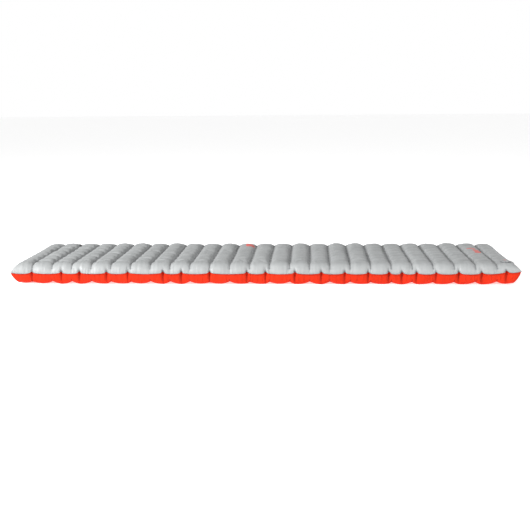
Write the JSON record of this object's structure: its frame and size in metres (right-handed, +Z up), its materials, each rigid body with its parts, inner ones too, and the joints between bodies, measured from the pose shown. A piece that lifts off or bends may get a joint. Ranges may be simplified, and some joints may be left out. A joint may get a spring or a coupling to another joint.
{
  "type": "inflatable sleeping pad",
  "caption": "Inflated backpacking sleeping pad with transverse tubes, internal baffles, a grey top, an orange-red base and a flat corner valve.",
  "frame": {"origin": "on the ground below the centre of the pad's length and width", "axes": "+X along the pad towards the head end and its valve, +Y across it away from the valve's long edge, +Z up"},
  "size_m": [1.83, 0.51, 0.0814],
  "materials": {
    "top_fabric": "light grey fine ripstop, satin",
    "base_fabric": "orange-red plain weave with a faint coated sheen",
    "baffle_film": "translucent coated film",
    "valve_seat_plastic": "fine moulded texture",
    "valve_collar_plastic": "fine moulded texture",
    "seal_rubber": "smooth",
    "flap_silicone": "milky silicone",
    "red_plastic": "soft matt red"
  },
  "bodies": {
    "pad": {"top_sheet": "top_fabric", "bottom_sheet": "base_fabric", "baffle_01": "baffle_film", "baffle_02": "baffle_film", "baffle_03": "baffle_film", "baffle_04": "baffle_film", "baffle_05": "baffle_film", "baffle_06": "baffle_film", "baffle_07": "baffle_film", "baffle_08": "baffle_film", "baffle_09": "baffle_film", "baffle_10": "baffle_film", "baffle_11": "baffle_film", "baffle_12": "baffle_film", "baffle_13": "baffle_film", "baffle_14": "baffle_film", "baffle_15": "baffle_film", "baffle_16": "baffle_film", "baffle_17": "baffle_film", "baffle_18": "baffle_film", "baffle_19": "baffle_film", "baffle_20": "baffle_film", "baffle_21": "baffle_film", "baffle_22": "baffle_film", "baffle_23": "baffle_film", "baffle_24": "baffle_film", "valve_weld_flange": "valve_collar_plastic", "valve_seat": "valve_seat_plastic"},
    "collar": {"deflation_collar": "valve_collar_plastic", "flap_grid": "valve_seat_plastic", "collar_seal_ring": "seal_rubber"},
    "cap": {"inflation_cap": "valve_collar_plastic", "cap_pull_tab": "red_plastic"},
    "flap": {"one_way_flap": "flap_silicone", "bleed_button": "red_plastic"}
  },
  "joints": [
    {"name": "collar_hinge", "type": "hinge", "parent": "pad", "child": "collar", "pos_m": [0.8515, -0.205, 0.07825], "axis": [0, -1, 0], "range_deg": [0, 120]},
    {"name": "cap_hinge", "type": "hinge", "parent": "collar", "child": "cap", "pos_m": [0.872, -0.2223, 0.07995], "axis": [1, 0, 0], "range_deg": [0, 150]},
    {"name": "bleed_button_slide", "type": "slide", "parent": "collar", "child": "flap", "axis": [0, 0, 1], "range_m": [-0.0025, 0], "stiffness_N_per_m": 150, "springref_m": 0.001}
  ]
}
